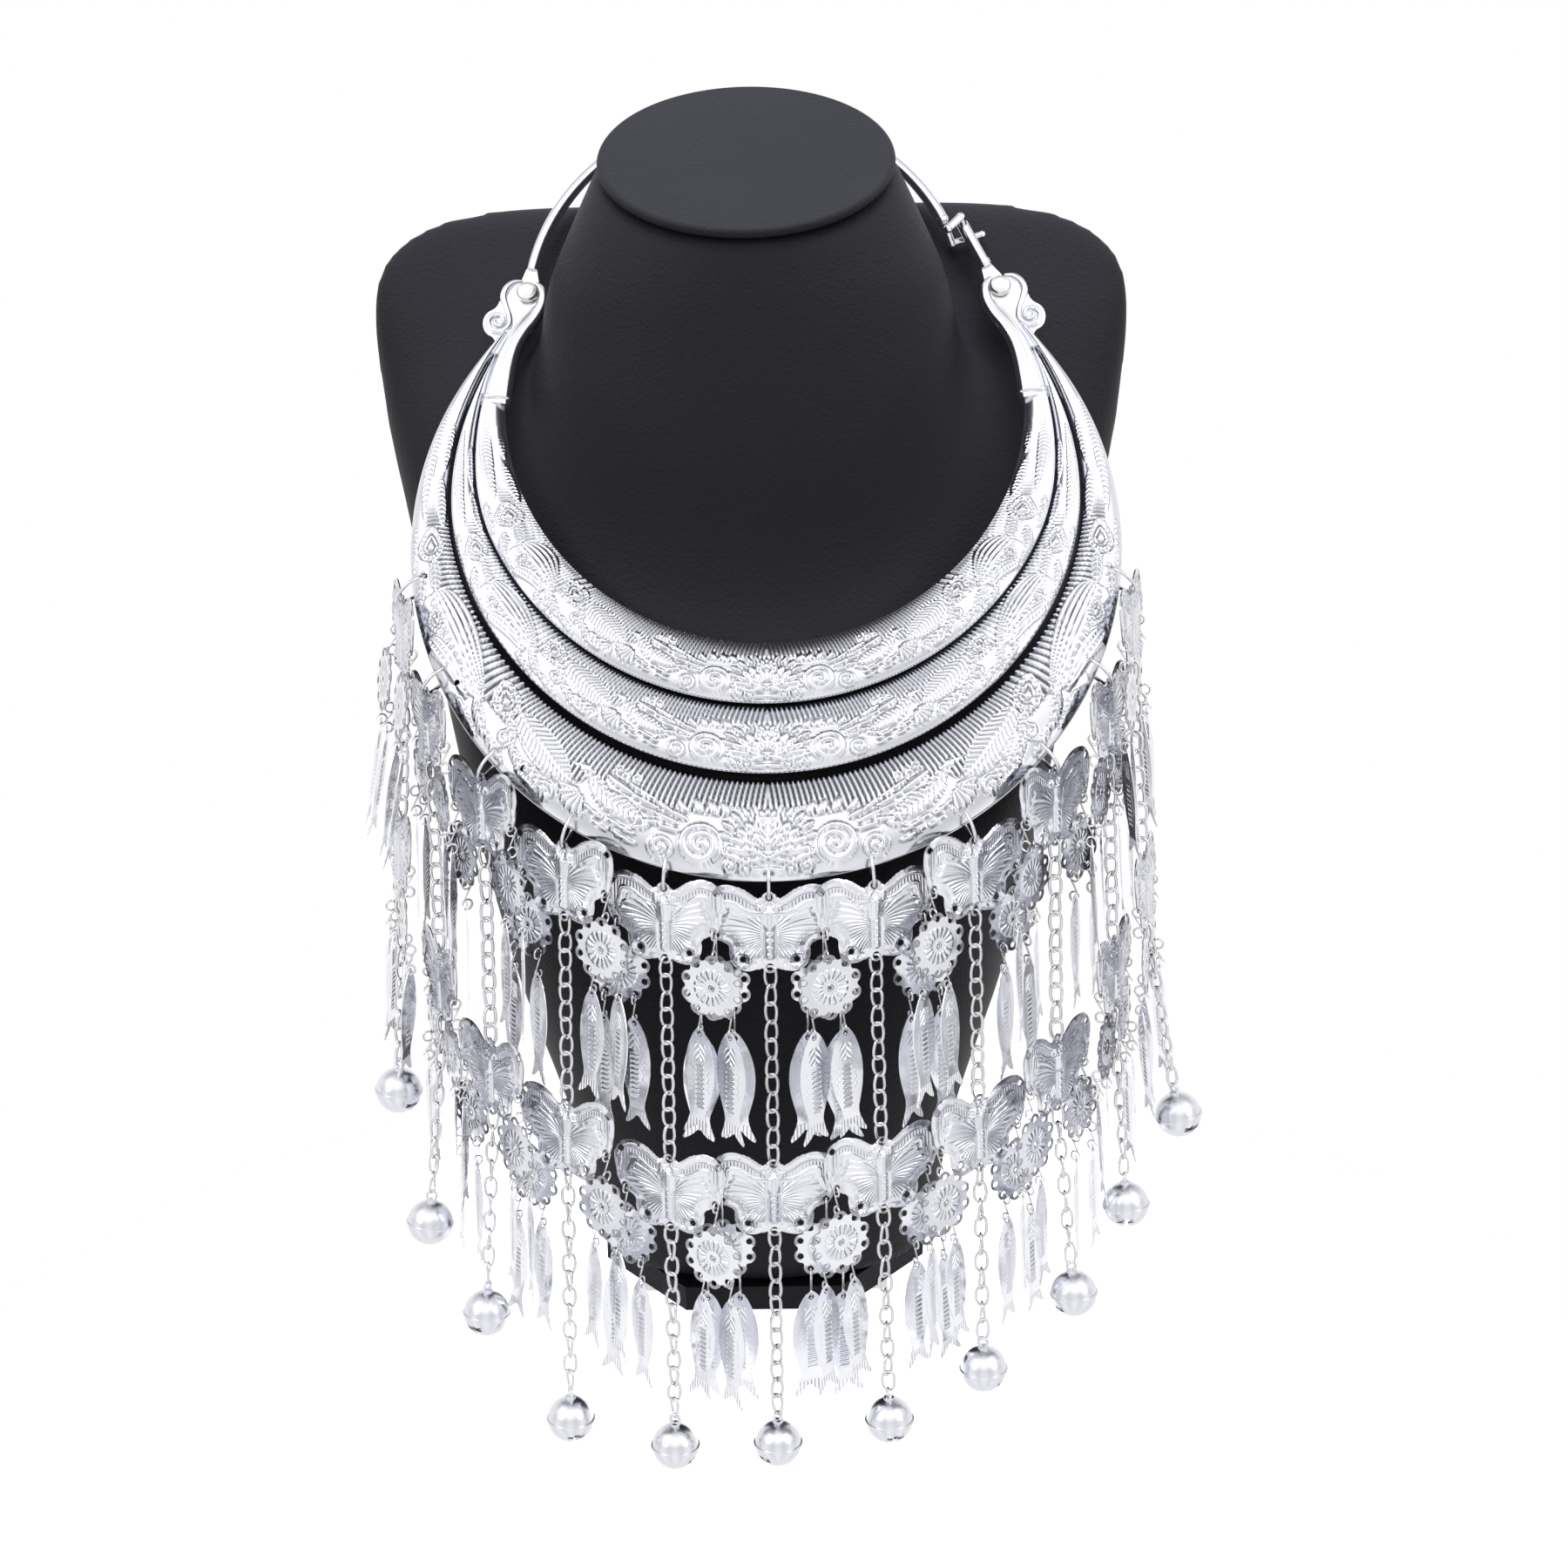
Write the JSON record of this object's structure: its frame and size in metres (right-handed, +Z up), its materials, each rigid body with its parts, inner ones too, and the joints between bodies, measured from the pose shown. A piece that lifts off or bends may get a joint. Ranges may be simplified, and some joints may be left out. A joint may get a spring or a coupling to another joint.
{
  "type": "choker necklace on neck bust",
  "caption": "Rigid collar of stamped silver crescents, hinged neck rod and clasp, fringe of butterflies, flowers, fish and bells, shown on a neck bust.",
  "frame": {"origin": "centre of the bust foot's underside, on the surface the bust stands on", "axes": "+Z up, -Y to the front, where the collar and its fringe hang, +X to the bust's left side, the right side of the front view"},
  "size_m": [0.2908, 0.1852, 0.4536],
  "materials": {
    "bust_cover": "fine-grained black leather cover, satin",
    "collar_metal": "stamped bright silver alloy, polished",
    "silver": "stamped bright silver alloy, polished",
    "rod_metal": "smooth polished silver alloy rod",
    "rivet_metal": "smooth polished silver alloy",
    "wire_metal": "bright silver alloy wire",
    "chain_metal": "bright silver alloy curb links",
    "drop_metal": "thin bright silver alloy sheet with stamped lines",
    "bell_metal": "polished silver alloy bell"
  },
  "bodies": {
    "root": {"neck_bust": "bust_cover", "neck_cap": "bust_cover", "bust_foot": "bust_cover", "crescent_inner": "collar_metal", "crescent_middle": "collar_metal", "crescent_outer": "collar_metal", "end_plate_left": "collar_metal", "end_plate_right": "collar_metal", "rivet_left": "rivet_metal", "rivet_right": "rivet_metal", "jump_rings": "wire_metal", "bells": "bell_metal", "upper_butterfly_1": "silver", "upper_butterfly_2": "silver", "upper_butterfly_3": "silver", "upper_butterfly_4": "silver", "upper_butterfly_5": "silver", "upper_butterfly_6": "silver", "upper_butterfly_7": "silver", "upper_butterfly_8": "silver", "upper_butterfly_9": "silver", "upper_butterfly_10": "silver", "upper_butterfly_11": "silver", "lower_butterfly_1": "silver", "lower_butterfly_2": "silver", "lower_butterfly_3": "silver", "lower_butterfly_4": "silver", "lower_butterfly_5": "silver", "lower_butterfly_6": "silver", "lower_butterfly_7": "silver", "lower_butterfly_8": "silver", "lower_butterfly_9": "silver", "lower_butterfly_10": "silver", "lower_butterfly_11": "silver", "chain_1": "chain_metal", "chain_2": "chain_metal", "chain_3": "chain_metal", "chain_4": "chain_metal", "chain_5": "chain_metal", "chain_6": "chain_metal", "chain_7": "chain_metal", "chain_8": "chain_metal", "chain_9": "chain_metal", "chain_10": "chain_metal", "chain_11": "chain_metal", "drops_1": "drop_metal", "drops_2": "drop_metal", "drops_3": "drop_metal", "drops_4": "drop_metal", "drops_5": "drop_metal", "drops_6": "drop_metal", "drops_7": "drop_metal", "drops_8": "drop_metal", "drops_9": "drop_metal", "drops_10": "drop_metal", "drops_11": "drop_metal"},
    "back_rod": {"back_rod": "rod_metal"},
    "clasp_rod": {"clasp_rod": "rod_metal"}
  },
  "joints": [
    {"name": "back_rod_hinge", "type": "hinge", "parent": "root", "child": "back_rod", "pos_m": [-0.0764, 0.0125, 0.35503], "axis": [0, -0.8192, 0.5736], "range_deg": [0, 55]},
    {"name": "clasp_rod_hinge", "type": "hinge", "parent": "root", "child": "clasp_rod", "pos_m": [0.0864, 0.0125, 0.35503], "axis": [0, 0.8192, -0.5736], "range_deg": [0, 60]}
  ]
}
